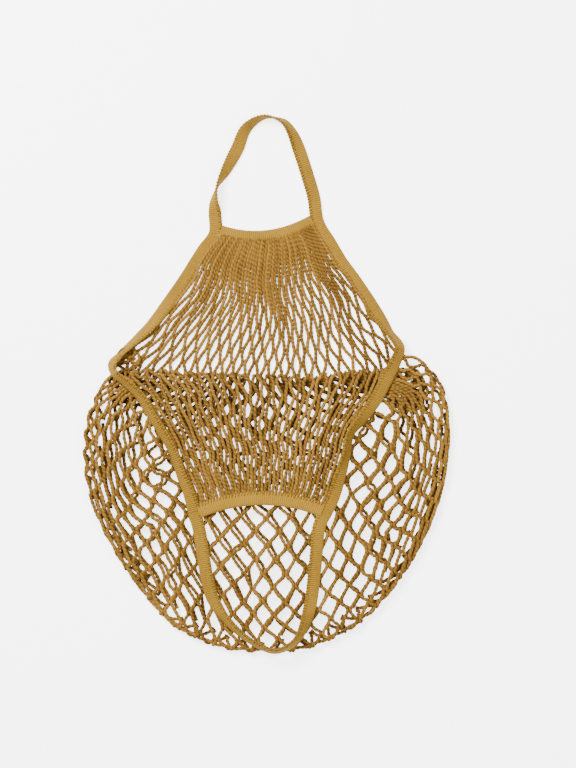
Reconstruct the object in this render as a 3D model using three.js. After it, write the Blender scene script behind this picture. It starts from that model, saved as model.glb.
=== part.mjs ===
// A string shopping bag of ochre cotton, empty and lying flat on its back.
// The net is a tube closed at the foot. One loop of tape makes both handles and binds the open
// sides of the mouth, and two short bands gather the net's top edges. The top of the front net
// is turned down over the pouch, so the front handle lies over the front.
// Millimetres. X runs to the right and Y up the bag as it lies, Z up from the ground.

import * as THREE from 'three';

// Driving sizes of the net
const pouchWidth = 366;
const pouchHeight = 281;
const mouthRise = 137;
const flapDrop = 140;
const netThickness = 2.4;
const insideAtMouth = 8;
const insideAtFoot = 6.6;
const sideDepth = 17;
const foldSag = 6;

// Driving sizes of the tape and the bands
const tapeWidth = 13;
const tapeThickness = 2.4;
const backHandleHeight = 119;
const backHandleSpread = 103;
const frontHandleDrop = 139.5;
const frontHandleSpread = 131;
const frontHandleShift = -6;
const backBandWidth = 12.5;
const backBandSag = 9;
const backBandTilt = 11;
const frontBandWidth = 14;
const frontBandArch = 11;

// Clearances between neighbouring pieces
const gap = 0.6;
const bandGap = 0.8;
const foldGap = 0.9;
const backGap = 1.2;
const cutGap = 0.5;

// Where the nets and bands meet the tape, counted in rows of its route from the nearest foot
const backBandAbove = { left: 0.15, right: 0.1 };
const backNetFrom = { left: 0.85, right: 0.72 };
const backNetTo = { left: 6.2, right: 6.6 };
const flapFrom = { left: 7.3, right: 7.4 };
const flapTo = { left: 1.0, right: 0.9 };
const bandEndShare = 0.05;

// Net pattern: diamonds across and along each panel, and how much of each one is open
const backMeshes = { columns: 5, rows: 6 };
const frontMeshes = { columns: 5, rows: 4 };
const flapMeshes = { columns: 4, rows: 2 };
const sideMeshes = { columns: 24, rows: 1 };
const openShare = 0.79;
const sideOpenShare = 0.55;
const cornerShare = 0.94;

// Steps in each swept piece
const handleSteps = 44;
const edgeSteps = 16;
const bandSteps = 10;
const bendSteps = 4;

const netMaterial = new THREE.MeshStandardMaterial({ color: 0xb48646, roughness: 0.95, metalness: 0 });
const tapeMaterial = new THREE.MeshStandardMaterial({ color: 0xc49b4e, roughness: 0.9, metalness: 0 });

const halfWidth = pouchWidth / 2;
const samples = (count, pick) => Array.from({ length: count }, (_, index) => pick(index / (count - 1)));
const flat = (x, y) => new THREE.Vector3(x, y, 0);
const curveThrough = (points, closed = false) => new THREE.CatmullRomCurve3(points, closed, 'centripetal');

// Pouch outline from the left corner of the mouth, round the foot, to the right corner.
// side is a share of half the pouch width, down a share of the pouch height below the fold.
const outlineRows = [
  { side: -0.870, down: 0.020 },
  { side: -0.959, down: 0.125 },
  { side: -0.997, down: 0.238 },
  { side: -0.989, down: 0.384 },
  { side: -0.913, down: 0.537 },
  { side: -0.806, down: 0.669 },
  { side: -0.680, down: 0.783 },
  { side: -0.549, down: 0.886 },
  { side: -0.363, down: 0.958 },
  { side: -0.189, down: 0.993 },
  { side: 0.000, down: 1.000 },
  { side: 0.200, down: 0.992 },
  { side: 0.370, down: 0.950 },
  { side: 0.525, down: 0.890 },
  { side: 0.658, down: 0.801 },
  { side: 0.773, down: 0.700 },
  { side: 0.893, down: 0.552 },
  { side: 0.970, down: 0.400 },
  { side: 1.000, down: 0.210 },
  { side: 0.975, down: 0.080 },
  { side: 0.915, down: 0.005 },
  { side: 0.800, down: -0.060 },
];
const outline = curveThrough(outlineRows.map((row) => flat(row.side * halfWidth, -row.down * pouchHeight)));
const footStart = 0.40;
const footEnd = 0.585;

// A point a given distance inside the outline, at a share of the way round it
function insideOutline(share, distance) {
  const tangent = outline.getTangentAt(share);
  const inward = flat(-tangent.y, tangent.x);
  return outline.getPointAt(share).addScaledVector(inward, distance);
}
const panelEdge = (share, clearance) => insideOutline(share, sideDepth + clearance);

// Height of the front net's underside: the inside is highest at the mouth
function frontUnderside(y) {
  const down = -y / pouchHeight;
  return netThickness + insideAtMouth + (insideAtFoot - insideAtMouth) * down;
}
const frontTop = (y) => frontUnderside(y) + netThickness;
const flapLevel = (y) => frontTop(y) + gap + netThickness / 2;

// Ends of the back mouth band and the front mouth band, on the tape's centre line
const backFoot = {
  left: flat(-backHandleSpread / 2, mouthRise),
  right: flat(backHandleSpread / 2, mouthRise + backBandTilt),
};
const frontFoot = {
  left: flat(frontHandleShift - frontHandleSpread / 2, -flapDrop),
  right: flat(frontHandleShift + frontHandleSpread / 2, -flapDrop),
};
// Corners of the mouth, where the tape turns from the back to the front
const corner = {
  left: flat(-0.835 * halfWidth, 0.025 * pouchHeight),
  right: flat(0.724 * halfWidth, 0.082 * pouchHeight),
};

// The tape's route, a closed loop in six pieces. roll turns the tape about its length, in
// degrees, and rest is the level that it lies on: 0 the ground, 1 the top of the front net.
// In a handle, side is a share of half its spread and reach a share of its length. In an edge,
// side and reach are shares of the way between its two ends.
const tapeRows = {
  back_handle: [
    { side: -1.000, reach: 0.000, roll: 0, rest: 0 },
    { side: -1.000, reach: 0.160, roll: 5, rest: 0 },
    { side: -1.010, reach: 0.277, roll: 55, rest: 0 },
    { side: -0.956, reach: 0.387, roll: 90, rest: 0 },
    { side: -0.790, reach: 0.521, roll: 135, rest: 0 },
    { side: -0.568, reach: 0.706, roll: 178, rest: 0 },
    { side: -0.383, reach: 0.882, roll: 140, rest: 0 },
    { side: -0.030, reach: 0.975, roll: 100, rest: 0 },
    { side: 0.335, reach: 0.933, roll: 60, rest: 0 },
    { side: 0.490, reach: 0.840, roll: 40, rest: 0 },
    { side: 0.626, reach: 0.689, roll: 8, rest: 0 },
    { side: 0.800, reach: 0.437, roll: 0, rest: 0 },
    { side: 0.917, reach: 0.240, roll: 0, rest: 0 },
  ],
  back_edge_right: [
    { side: 0.000, reach: 0.000, roll: 0, rest: 0 },
    { side: 0.154, reach: 0.168, roll: 0, rest: 0 },
    { side: 0.278, reach: 0.304, roll: 0, rest: 0 },
    { side: 0.432, reach: 0.440, roll: 0, rest: 0 },
    { side: 0.593, reach: 0.592, roll: 0, rest: 0 },
    { side: 0.704, reach: 0.704, roll: 8, rest: 0 },
    { side: 0.877, reach: 0.875, roll: 55, rest: 0.1 },
  ],
  front_edge_right: [
    { side: 0.000, reach: 0.000, roll: 40, rest: 0.7 },
    { side: 0.068, reach: 0.092, roll: 25, rest: 1 },
    { side: 0.164, reach: 0.175, roll: 10, rest: 1 },
    { side: 0.329, reach: 0.316, roll: 10, rest: 1 },
    { side: 0.521, reach: 0.436, roll: 35, rest: 1 },
    { side: 0.671, reach: 0.521, roll: 52, rest: 1 },
    { side: 0.726, reach: 0.644, roll: 52, rest: 1 },
    { side: 0.815, reach: 0.785, roll: 25, rest: 1 },
    { side: 0.918, reach: 0.926, roll: 0, rest: 1 },
  ],
  front_handle: [
    { side: 1.000, reach: 0.000, roll: 0, rest: 1 },
    { side: 0.893, reach: 0.104, roll: 0, rest: 1 },
    { side: 0.855, reach: 0.269, roll: 0, rest: 1 },
    { side: 0.821, reach: 0.434, roll: 0, rest: 1 },
    { side: 0.763, reach: 0.652, roll: 0, rest: 1 },
    { side: 0.679, reach: 0.792, roll: 36, rest: 1 },
    { side: 0.542, reach: 0.914, roll: 58, rest: 1 },
    { side: 0.237, reach: 0.990, roll: 64, rest: 1 },
    { side: -0.084, reach: 0.935, roll: 62, rest: 1 },
    { side: -0.328, reach: 0.853, roll: 56, rest: 1 },
    { side: -0.550, reach: 0.742, roll: 45, rest: 1 },
    { side: -0.725, reach: 0.613, roll: 10, rest: 1 },
    { side: -0.802, reach: 0.487, roll: 0, rest: 1 },
    { side: -0.863, reach: 0.323, roll: 0, rest: 1 },
    { side: -0.924, reach: 0.140, roll: 0, rest: 1 },
  ],
  front_edge_left: [
    { side: 0.000, reach: 0.000, roll: 0, rest: 1 },
    { side: 0.074, reach: 0.142, roll: 25, rest: 1 },
    { side: 0.160, reach: 0.250, roll: 42, rest: 1 },
    { side: 0.235, reach: 0.378, roll: 45, rest: 1 },
    { side: 0.358, reach: 0.510, roll: 45, rest: 1 },
    { side: 0.506, reach: 0.642, roll: 45, rest: 1 },
    { side: 0.654, reach: 0.777, roll: 45, rest: 1 },
    { side: 0.827, reach: 0.872, roll: 50, rest: 1 },
    { side: 0.963, reach: 0.932, roll: 62, rest: 1 },
  ],
  back_edge_left: [
    { side: 0.000, reach: 0.000, roll: 78, rest: 0.45 },
    { side: 0.060, reach: 0.065, roll: 70, rest: 0.05 },
    { side: 0.241, reach: 0.198, roll: 48, rest: 0 },
    { side: 0.384, reach: 0.309, roll: 35, rest: 0 },
    { side: 0.567, reach: 0.496, roll: 5, rest: 0 },
    { side: 0.709, reach: 0.656, roll: 0, rest: 0 },
    { side: 0.882, reach: 0.870, roll: 0, rest: 0 },
  ],
};

// Where each piece's rows are measured from and to
const between = (from, to) => (row) => flat(
  from.x + row.side * (to.x - from.x),
  from.y + row.reach * (to.y - from.y),
);
function backHandlePlace(row) {
  const footHeight = THREE.MathUtils.mapLinear(row.side, -1, 1, backFoot.left.y, backFoot.right.y);
  const rise = backFoot.left.y + backHandleHeight - footHeight;
  return flat(row.side * backHandleSpread / 2, footHeight + row.reach * rise);
}
const frontHandlePlace = (row) => flat(
  frontHandleShift + row.side * frontHandleSpread / 2,
  -flapDrop - row.reach * frontHandleDrop,
);
const tapePieces = [
  { name: 'back_handle', place: backHandlePlace, steps: handleSteps },
  { name: 'back_edge_right', place: between(backFoot.right, corner.right), steps: edgeSteps },
  { name: 'front_edge_right', place: between(corner.right, frontFoot.right), steps: edgeSteps },
  { name: 'front_handle', place: frontHandlePlace, steps: handleSteps },
  { name: 'front_edge_left', place: between(frontFoot.left, corner.left), steps: edgeSteps },
  { name: 'back_edge_left', place: between(corner.left, backFoot.left), steps: edgeSteps },
];

// Half of the tape's size across the plan and upwards, when it is rolled
function rolledHalves(roll, width) {
  const turn = THREE.MathUtils.degToRad(roll);
  const across = Math.abs(Math.cos(turn));
  const upright = Math.abs(Math.sin(turn));
  return {
    plan: (width * across + tapeThickness * upright) / 2,
    height: (width * upright + tapeThickness * across) / 2,
  };
}

// The whole loop over all its rows: the centre line in plan, the roll and the level it rests on
const loopPoints = [];
const loopRows = [];
const pieceStart = {};
for (const piece of tapePieces) {
  pieceStart[piece.name] = loopPoints.length;
  for (const row of tapeRows[piece.name]) {
    loopPoints.push(piece.place(row));
    loopRows.push(row);
  }
}
const tapeRoute = curveThrough(loopPoints, true);
const rowShare = (index) => index / loopPoints.length;
const onLoop = (share) => (share + 1) % 1;
function rowValue(column, share) {
  const place = onLoop(share) * loopRows.length;
  const before = Math.floor(place) % loopRows.length;
  const after = (before + 1) % loopRows.length;
  return THREE.MathUtils.lerp(loopRows[before][column], loopRows[after][column], place - Math.floor(place));
}
function tapePlace(share) {
  const place = tapeRoute.getPoint(onLoop(share));
  const level = rowValue('rest', share) * (frontTop(place.y) + gap);
  return place.setZ(level + rolledHalves(rowValue('roll', share), tapeWidth).height);
}
const tapeStep = 1e-3;
const tapeTangent = (share) => tapePlace(share + tapeStep).sub(tapePlace(share - tapeStep));

// A point beside the tape, on the side that the net is sewn to, so many rows on from a piece's start
function besideTape(name, rows) {
  const share = onLoop(rowShare(pieceStart[name] + rows));
  const tangent = tapeRoute.getTangent(share);
  const distance = rolledHalves(rowValue('roll', share), tapeWidth).plan + gap;
  return tapeRoute.getPoint(share).addScaledVector(flat(tangent.y, -tangent.x), distance);
}
const besideTapeBetween = (name, from, to, count) => (
  samples(count, (share) => besideTape(name, THREE.MathUtils.lerp(from, to, share)))
);

// Section of a flat band with its corners taken off, as shares of its width and thickness
const bandSection = [
  [0.5, -0.22], [0.5, 0.22], [0.44, 0.5], [-0.44, 0.5],
  [-0.5, 0.22], [-0.5, -0.22], [-0.44, -0.5], [0.44, -0.5],
];

// A closed band swept along a route, level where its roll is 0
function sweptBand(pointAt, tangentAt, rollFor, width, steps) {
  const rings = steps + 1;
  const sides = bandSection.length;
  const positions = [];
  const faces = [];
  for (let ring = 0; ring < rings; ring += 1) {
    const share = ring / steps;
    const centre = pointAt(share);
    const along = tangentAt(share).normalize();
    const side = new THREE.Vector3(along.y, -along.x, 0).normalize();
    const up = new THREE.Vector3().crossVectors(side, along).normalize();
    const turn = THREE.MathUtils.degToRad(rollFor(share));
    const across = side.clone().multiplyScalar(Math.cos(turn)).addScaledVector(up, Math.sin(turn));
    const face = up.clone().multiplyScalar(Math.cos(turn)).addScaledVector(side, -Math.sin(turn));
    for (const [acrossShare, faceShare] of bandSection) {
      const corner3 = centre.clone()
        .addScaledVector(across, acrossShare * width)
        .addScaledVector(face, faceShare * tapeThickness);
      positions.push(corner3.x, corner3.y, corner3.z);
    }
  }
  for (let ring = 0; ring < steps; ring += 1) {
    for (let side = 0; side < sides; side += 1) {
      const next = (side + 1) % sides;
      const here = ring * sides;
      const there = here + sides;
      faces.push([here + side, here + next, there + next], [here + side, there + next, there + side]);
    }
  }
  const last = steps * sides;
  for (let side = 1; side < sides - 1; side += 1) {
    faces.push([0, side + 1, side], [last, last + side, last + side + 1]);
  }
  return closedGeometry(positions, faces);
}

// A geometry with its faces turned outwards
function closedGeometry(positions, faces) {
  let volume = 0;
  const vertex = (index) => new THREE.Vector3().fromArray(positions, index * 3);
  for (const [a, b, c] of faces) {
    volume += vertex(a).dot(vertex(b).cross(vertex(c)));
  }
  const outward = volume > 0 ? faces : faces.map(([a, b, c]) => [a, c, b]);
  const geometry = new THREE.BufferGeometry();
  geometry.setAttribute('position', new THREE.Float32BufferAttribute(positions, 3));
  geometry.setIndex(outward.flat());
  geometry.computeVertexNormals();
  return geometry;
}

// A net's layout over its across and along shares: diamonds with their middles open, and solid
// half diamonds at the hems, where the net is gathered into its edge. leadRows adds rows of
// plain hem before the first diamonds, at the shares along that they name.
function netLayout({ columns, rows }, open, leadRows = []) {
  const points = [];
  const faces = [];
  const known = new Map();
  const point = (across, along) => {
    const key = `${across.toFixed(6)},${along.toFixed(6)}`;
    if (!known.has(key)) {
      known.set(key, points.length);
      points.push([across, along]);
    }
    return known.get(key);
  };
  const halfAcross = 0.5 / columns;
  const halfAlong = 0.5 / rows;

  const openDiamond = (across, along) => {
    const ring = [[0, -1], [0.5, -0.5], [1, 0], [0.5, 0.5], [0, 1], [-0.5, 0.5], [-1, 0], [-0.5, -0.5]];
    const outer = ring.map(([a, b]) => point(across + a * halfAcross, along + b * halfAlong));
    const inner = ring.map(([a, b], index) => {
      const share = open * (index % 2 ? 1 : cornerShare);
      return point(across + a * halfAcross * share, along + b * halfAlong * share);
    });
    ring.forEach((_, index) => {
      const next = (index + 1) % ring.length;
      faces.push([outer[index], outer[next], inner[next]], [outer[index], inner[next], inner[index]]);
    });
  };
  for (let row = 0; row < rows; row += 1) {
    for (let column = 0; column < columns; column += 1) {
      openDiamond((column + 0.5) / columns, (row + 0.5) / rows);
      if (row > 0 && column > 0) openDiamond(column / columns, row / rows);
    }
  }

  // Half diamonds along each hem, then the four corners
  const halfDiamond = (middle, step, inward) => {
    const at = (stepShare, inwardShare) => point(
      middle[0] + step[0] * stepShare + inward[0] * inwardShare,
      middle[1] + step[1] * stepShare + inward[1] * inwardShare,
    );
    const [start, early, centre, late, end] = [-1, -0.5, 0, 0.5, 1].map((share) => at(share, 0));
    const left = at(-0.5, 0.5);
    const tip = at(0, 1);
    const right = at(0.5, 0.5);
    const corners = [
      [start, early, left], [early, centre, left], [centre, tip, left],
      [centre, right, tip], [centre, late, right], [late, end, right],
    ];
    const turned = step[0] * inward[1] - step[1] * inward[0] < 0;
    faces.push(...corners.map(([a, b, c]) => (turned ? [a, c, b] : [a, b, c])));
  };
  for (let column = 1; column < columns; column += 1) {
    halfDiamond([column / columns, 0], [halfAcross, 0], [0, halfAlong]);
    halfDiamond([column / columns, 1], [halfAcross, 0], [0, -halfAlong]);
  }
  for (let row = 1; row < rows; row += 1) {
    halfDiamond([0, row / rows], [0, halfAlong], [halfAcross, 0]);
    halfDiamond([1, row / rows], [0, halfAlong], [-halfAcross, 0]);
  }
  for (const [across, along] of [[0, 0], [1, 0], [1, 1], [0, 1]]) {
    const acrossStep = across ? -halfAcross : halfAcross;
    const alongStep = along ? -halfAlong : halfAlong;
    const tip = point(across, along);
    const acrossMiddle = point(across + acrossStep / 2, along);
    const acrossEnd = point(across + acrossStep, along);
    const middle = point(across + acrossStep / 2, along + alongStep / 2);
    const alongEnd = point(across, along + alongStep);
    const alongMiddle = point(across, along + alongStep / 2);
    const corners = [
      [tip, acrossMiddle, alongMiddle], [acrossMiddle, middle, alongMiddle],
      [acrossMiddle, acrossEnd, middle], [middle, alongEnd, alongMiddle],
    ];
    const turned = acrossStep * alongStep < 0;
    faces.push(...corners.map(([a, b, c]) => (turned ? [a, c, b] : [a, b, c])));
  }

  // Plain rows before the first hem, over the same points across
  const acrossSteps = columns * 4;
  [0, ...leadRows].slice(0, leadRows.length).forEach((along, index) => {
    for (let step = 0; step < acrossSteps; step += 1) {
      const [from, to] = [step / acrossSteps, (step + 1) / acrossSteps];
      const nearFrom = point(from, along);
      const nearTo = point(to, along);
      const farFrom = point(from, leadRows[index]);
      const farTo = point(to, leadRows[index]);
      faces.push([farFrom, farTo, nearTo], [farFrom, nearTo, nearFrom]);
    }
  });
  return { points, faces };
}

// Gives a net layout its place and its thickness: a wall on each open side of a face closes it
function netSheet(layout, surface) {
  const count = layout.points.length;
  const positions = [];
  const step = 1e-4;
  const places = layout.points.map(([across, along]) => {
    const across2 = surface(across + step, along).sub(surface(across - step, along));
    const along2 = surface(across, along + step).sub(surface(across, along - step));
    return { middle: surface(across, along), normal: across2.cross(along2).normalize() };
  });
  for (const side of [0.5, -0.5]) {
    for (const { middle, normal } of places) {
      const place = middle.clone().addScaledVector(normal, side * netThickness);
      positions.push(place.x, place.y, place.z);
    }
  }
  const faces = [];
  const used = new Set();
  for (const face of layout.faces) {
    faces.push(face, [face[0] + count, face[2] + count, face[1] + count]);
    face.forEach((from, index) => used.add(`${from},${face[(index + 1) % 3]}`));
  }
  for (const edge of used) {
    const [from, to] = edge.split(',').map(Number);
    if (used.has(`${to},${from}`)) continue;
    faces.push([from, from + count, to], [to, from + count, to + count]);
  }
  return closedGeometry(positions, faces);
}

// A sheet stretched between four edges that meet at its corners, level by a height function
function stretched(top, foot, left, right, heightAt) {
  return (across, along) => {
    const place = top(across).multiplyScalar(1 - along).addScaledVector(foot(across), along);
    place.addScaledVector(left(along), 1 - across).addScaledVector(right(along), across);
    place.addScaledVector(top(0), -(1 - across) * (1 - along)).addScaledVector(top(1), -across * (1 - along));
    place.addScaledVector(foot(0), -(1 - across) * along).addScaledVector(foot(1), -across * along);
    return place.setZ(heightAt(place.y));
  };
}
const clampShare = (share) => Math.min(1, Math.max(0, share));
function edgeThrough(points) {
  const curve = curveThrough(points);
  return (share) => {
    const inside = clampShare(share);
    const beyond = (share - inside) * curve.getLength();
    return curve.getPointAt(inside).addScaledVector(curve.getTangentAt(inside), beyond);
  };
}
const outlineEdge = (from, to, clearance) => (share) => panelEdge(from + (to - from) * clampShare(share), clearance);

// Fold of the front net, a shallow arc between the corners of the mouth
const foldReach = 0.6 * halfWidth;
const foldLine = () => samples(9, (share) => {
  const side = share * 2 - 1;
  return flat(side * foldReach, -foldSag * (1 - side * side));
});

const named = (name, geometry, material) => {
  const mesh = new THREE.Mesh(geometry, material);
  mesh.name = name;
  return mesh;
};

// Tape: each piece takes its stretch of the loop, cut clear of the next one
function tapeMesh(piece, index) {
  const next = tapePieces[(index + 1) % tapePieces.length];
  const start = rowShare(pieceStart[piece.name]);
  const end = rowShare(pieceStart[next.name] || loopPoints.length);
  const trimAt = (share) => cutGap * tapeStep / tapeTangent(share).length();
  const shareOf = (share) => THREE.MathUtils.lerp(start + trimAt(start), end - trimAt(end), share);
  const geometry = sweptBand(
    (share) => tapePlace(shareOf(share)),
    (share) => tapeTangent(shareOf(share)),
    (share) => rowValue('roll', shareOf(share)),
    tapeWidth,
    piece.steps,
  );
  return named(piece.name, geometry, tapeMaterial);
}

// Mouth band: an arc between the tape's inner sides, sagging or arched by its bow
function mouthBand(name, start, end, bow, width, level) {
  const squareEnd = width * bandEndShare;
  const chord = end.clone().sub(start).setLength(squareEnd);
  start.add(chord);
  end.sub(chord);
  const pointAt = (share) => {
    const place = start.clone().lerp(end, share);
    place.y += bow * 4 * share * (1 - share);
    return place.setZ(level(place.y) + tapeThickness / 2);
  };
  const step = 1e-3;
  const tangentAt = (share) => pointAt(share + step).sub(pointAt(share - step));
  const geometry = sweptBand(pointAt, tangentAt, () => 0, width, bandSteps);
  const edgeAt = (side) => (share) => {
    const along = tangentAt(share).normalize();
    const across = flat(-along.y, along.x);
    return pointAt(share).setZ(0).addScaledVector(across, side * (width / 2 + bandGap));
  };
  return { mesh: named(name, geometry, tapeMaterial), edgeAt };
}

const backBand = mouthBand(
  'back_mouth_band',
  besideTape('back_handle', backBandAbove.left),
  besideTape('back_edge_right', -backBandAbove.right),
  -backBandSag,
  backBandWidth,
  () => 0,
);
const frontBand = mouthBand(
  'front_mouth_band',
  besideTape('front_edge_left', 0),
  besideTape('front_handle', 0),
  frontBandArch,
  frontBandWidth,
  (y) => frontTop(y) + gap,
);

// Back net: from the back mouth band, down beside the tape and round inside the pouch outline
function backNet() {
  const tapeLeft = besideTapeBetween('back_handle', -backNetFrom.left, -backNetTo.left, 6);
  const tapeRight = besideTapeBetween('back_edge_right', backNetFrom.right, backNetTo.right, 6);
  const underBand = samples(9, (share) => backBand.edgeAt(-1)(0.04 + 0.92 * share));
  const pouchLeft = samples(13, (share) => panelEdge(footStart * share, backGap));
  const pouchRight = samples(13, (share) => panelEdge(THREE.MathUtils.lerp(1, footEnd, share), backGap));
  const surface = stretched(
    edgeThrough([tapeLeft[0], ...underBand, tapeRight[0]]),
    outlineEdge(footStart, footEnd, backGap),
    edgeThrough([...tapeLeft, ...pouchLeft]),
    edgeThrough([...tapeRight, ...pouchRight]),
    () => netThickness / 2,
  );
  return named('net_back', netSheet(netLayout(backMeshes, openShare), surface), netMaterial);
}

// Front net: from the fold down to the foot
function frontNet() {
  const underFold = foldLine().map((point) => point.setY(point.y - foldGap));
  const surface = stretched(
    edgeThrough([panelEdge(0, gap), ...underFold, panelEdge(1, gap)]),
    outlineEdge(footStart, footEnd, gap),
    outlineEdge(0, footStart, gap),
    outlineEdge(1, footEnd, gap),
    (y) => frontUnderside(y) + netThickness / 2,
  );
  return named('net_front', netSheet(netLayout(frontMeshes, openShare), surface), netMaterial);
}

// Side net: a rounded wall from the back net's edge out to the outline and up to the front net's
function sideNet() {
  const surface = (across, along) => {
    const turn = Math.PI * (along - 0.5);
    const share = Math.min(0.9999, Math.max(0.0001, across));
    const place = insideOutline(share, netThickness / 2 + (sideDepth - netThickness / 2) * (1 - Math.cos(turn)));
    const low = netThickness / 2;
    const high = frontUnderside(place.y) + netThickness / 2;
    return place.setZ((low + high) / 2 + (high - low) / 2 * Math.sin(turn));
  };
  return named('net_side', netSheet(netLayout(sideMeshes, sideOpenShare), surface), netMaterial);
}

// Turned-down net: a bend at the fold, then down between the tapes to the front mouth band
function flapNet() {
  const leftTape = besideTapeBetween('front_edge_left', flapFrom.left, flapTo.left, 7);
  const rightTape = besideTapeBetween('front_handle', -flapFrom.right, -flapTo.right, 7);
  const aboveBand = samples(9, (share) => frontBand.edgeAt(1)(0.04 + 0.92 * share));
  const sheet = stretched(
    edgeThrough([leftTape[0], ...foldLine(), rightTape[0]]),
    edgeThrough([leftTape[6], ...aboveBand, rightTape[6]]),
    edgeThrough(leftTape),
    edgeThrough(rightTape),
    flapLevel,
  );
  const bend = (netThickness + gap) / 2;
  const surface = (across, along) => {
    if (along >= 0) return sheet(across, along);
    const place = sheet(across, 0);
    const turn = -along * Math.PI;
    place.y += bend * Math.sin(turn);
    place.z -= bend * (1 - Math.cos(turn));
    return place;
  };
  const bendRows = samples(bendSteps, (share) => -(share * (bendSteps - 1) + 1) / bendSteps);
  const layout = netLayout(flapMeshes, openShare, bendRows);
  return named('net_flap', netSheet(layout, surface), netMaterial);
}

const bag = new THREE.Group();
tapePieces.forEach((piece, index) => bag.add(tapeMesh(piece, index)));
bag.add(backBand.mesh, frontBand.mesh, backNet(), frontNet(), sideNet(), flapNet());

// The origin is the middle of the bag's footprint, on the ground
const extent = new THREE.Box3().setFromObject(bag);
const middle = extent.getCenter(new THREE.Vector3());
bag.position.set(-middle.x, -middle.y, -extent.min.z);

export default bag;
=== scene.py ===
# Looks of the string shopping bag: the knitted net, strand by strand, and the ribbed tape.
# Lengths are worked in millimetres and turned into metres when a mesh is made.
import math

import bpy
import numpy as np
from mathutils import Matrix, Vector


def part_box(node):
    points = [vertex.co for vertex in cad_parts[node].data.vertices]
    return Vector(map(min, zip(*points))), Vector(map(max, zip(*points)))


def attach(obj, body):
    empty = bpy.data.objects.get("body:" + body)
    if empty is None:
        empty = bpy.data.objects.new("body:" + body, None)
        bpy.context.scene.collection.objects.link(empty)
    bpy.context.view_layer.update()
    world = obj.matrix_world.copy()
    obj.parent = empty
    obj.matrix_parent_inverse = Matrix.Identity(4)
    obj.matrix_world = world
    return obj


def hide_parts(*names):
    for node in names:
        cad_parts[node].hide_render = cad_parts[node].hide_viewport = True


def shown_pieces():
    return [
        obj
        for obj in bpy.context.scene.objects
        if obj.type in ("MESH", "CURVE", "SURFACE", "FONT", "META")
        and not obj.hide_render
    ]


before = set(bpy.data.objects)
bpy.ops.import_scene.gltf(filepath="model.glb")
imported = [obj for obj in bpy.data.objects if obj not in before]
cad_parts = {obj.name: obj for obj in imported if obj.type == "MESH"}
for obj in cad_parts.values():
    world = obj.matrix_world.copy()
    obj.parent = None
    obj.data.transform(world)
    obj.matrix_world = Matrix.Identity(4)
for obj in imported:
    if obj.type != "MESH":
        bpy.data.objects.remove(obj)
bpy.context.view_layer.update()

MM = 0.001

# Sizes shared with the part's solids
POUCH_WIDTH = 366.0
POUCH_HEIGHT = 281.0
MOUTH_RISE = 137.0
FLAP_DROP = 140.0
NET_THICKNESS = 2.4
INSIDE_AT_MOUTH = 8.0
INSIDE_AT_FOOT = 6.6
SIDE_DEPTH = 17.0
FOLD_SAG = 6.0
TAPE_WIDTH = 13.0
TAPE_THICKNESS = 2.4
BACK_HANDLE_HEIGHT = 119.0
BACK_HANDLE_SPREAD = 103.0
FRONT_HANDLE_DROP = 139.5
FRONT_HANDLE_SPREAD = 131.0
FRONT_HANDLE_SHIFT = -6.0
BACK_BAND_WIDTH = 12.5
BACK_BAND_SAG = 9.0
BACK_BAND_TILT = 11.0
FRONT_BAND_WIDTH = 14.0
FRONT_BAND_ARCH = 11.0
GAP = 0.6

# The knitted net
CORD = 3.6
FLAP_CORD = 3.5
BAND_THICKNESS = 3.8
JOINT_LENGTH = 4.0
JOINT_SPREAD = 0.47 * CORD
# How far a strand's middle lies above the ground and inside the outline
CORD_REST = CORD * 0.6

HALF = POUCH_WIDTH / 2

# The part's origin is the middle of its footprint: the pouch's foot and side give the shift
side_low, side_high = [np.array(corner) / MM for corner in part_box("net_side")]
SHIFT = np.array([(side_low[0] + side_high[0]) / 2, side_low[1] + POUCH_HEIGHT])


def catmull(points, closed=False, per_segment=24):
    """A centripetal curve through points, as many short steps."""
    points = np.asarray(points, float)
    count = len(points)
    segments = count if closed else count - 1
    shares = np.linspace(0, 1, per_segment, endpoint=False)
    pieces = []
    for index in range(segments):
        if closed:
            around = [points[(index + step) % count] for step in (-1, 0, 1, 2)]
        else:
            before = points[index - 1] if index else 2 * points[0] - points[1]
            last = points[index + 2] if index + 2 < count else 2 * points[-1] - points[-2]
            around = [before, points[index], points[index + 1], last]
        gaps = [max(np.linalg.norm(around[k + 1] - around[k]) ** 0.5, 1e-4) for k in range(3)]
        leave = (around[1] - around[0]) / gaps[0] - (around[2] - around[0]) / (gaps[0] + gaps[1])
        leave = (leave + (around[2] - around[1]) / gaps[1]) * gaps[1]
        arrive = (around[2] - around[1]) / gaps[1] - (around[3] - around[1]) / (gaps[1] + gaps[2])
        arrive = (arrive + (around[3] - around[2]) / gaps[2]) * gaps[1]
        t = shares[:, None]
        piece = (2 * t ** 3 - 3 * t ** 2 + 1) * around[1] + (t ** 3 - 2 * t ** 2 + t) * leave
        piece += (3 * t ** 2 - 2 * t ** 3) * around[2] + (t ** 3 - t ** 2) * arrive
        pieces.append(piece)
    pieces.append(points[:1] if closed else points[-1:])
    return np.concatenate(pieces)


class Edge:
    """A line that is read by its share of length; past its ends it keeps to the end points."""

    def __init__(self, points):
        self.points = np.asarray(points, float)
        steps = np.linalg.norm(np.diff(self.points, axis=0), axis=1)
        self.along = np.concatenate([[0], np.cumsum(steps)])
        self.length = self.along[-1]

    def at(self, share):
        distance = np.asarray(share, float) * self.length
        columns = [np.interp(distance, self.along, column) for column in self.points.T]
        return np.stack(columns, axis=-1)


def place(x, y):
    return np.array([x, y], float)


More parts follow.
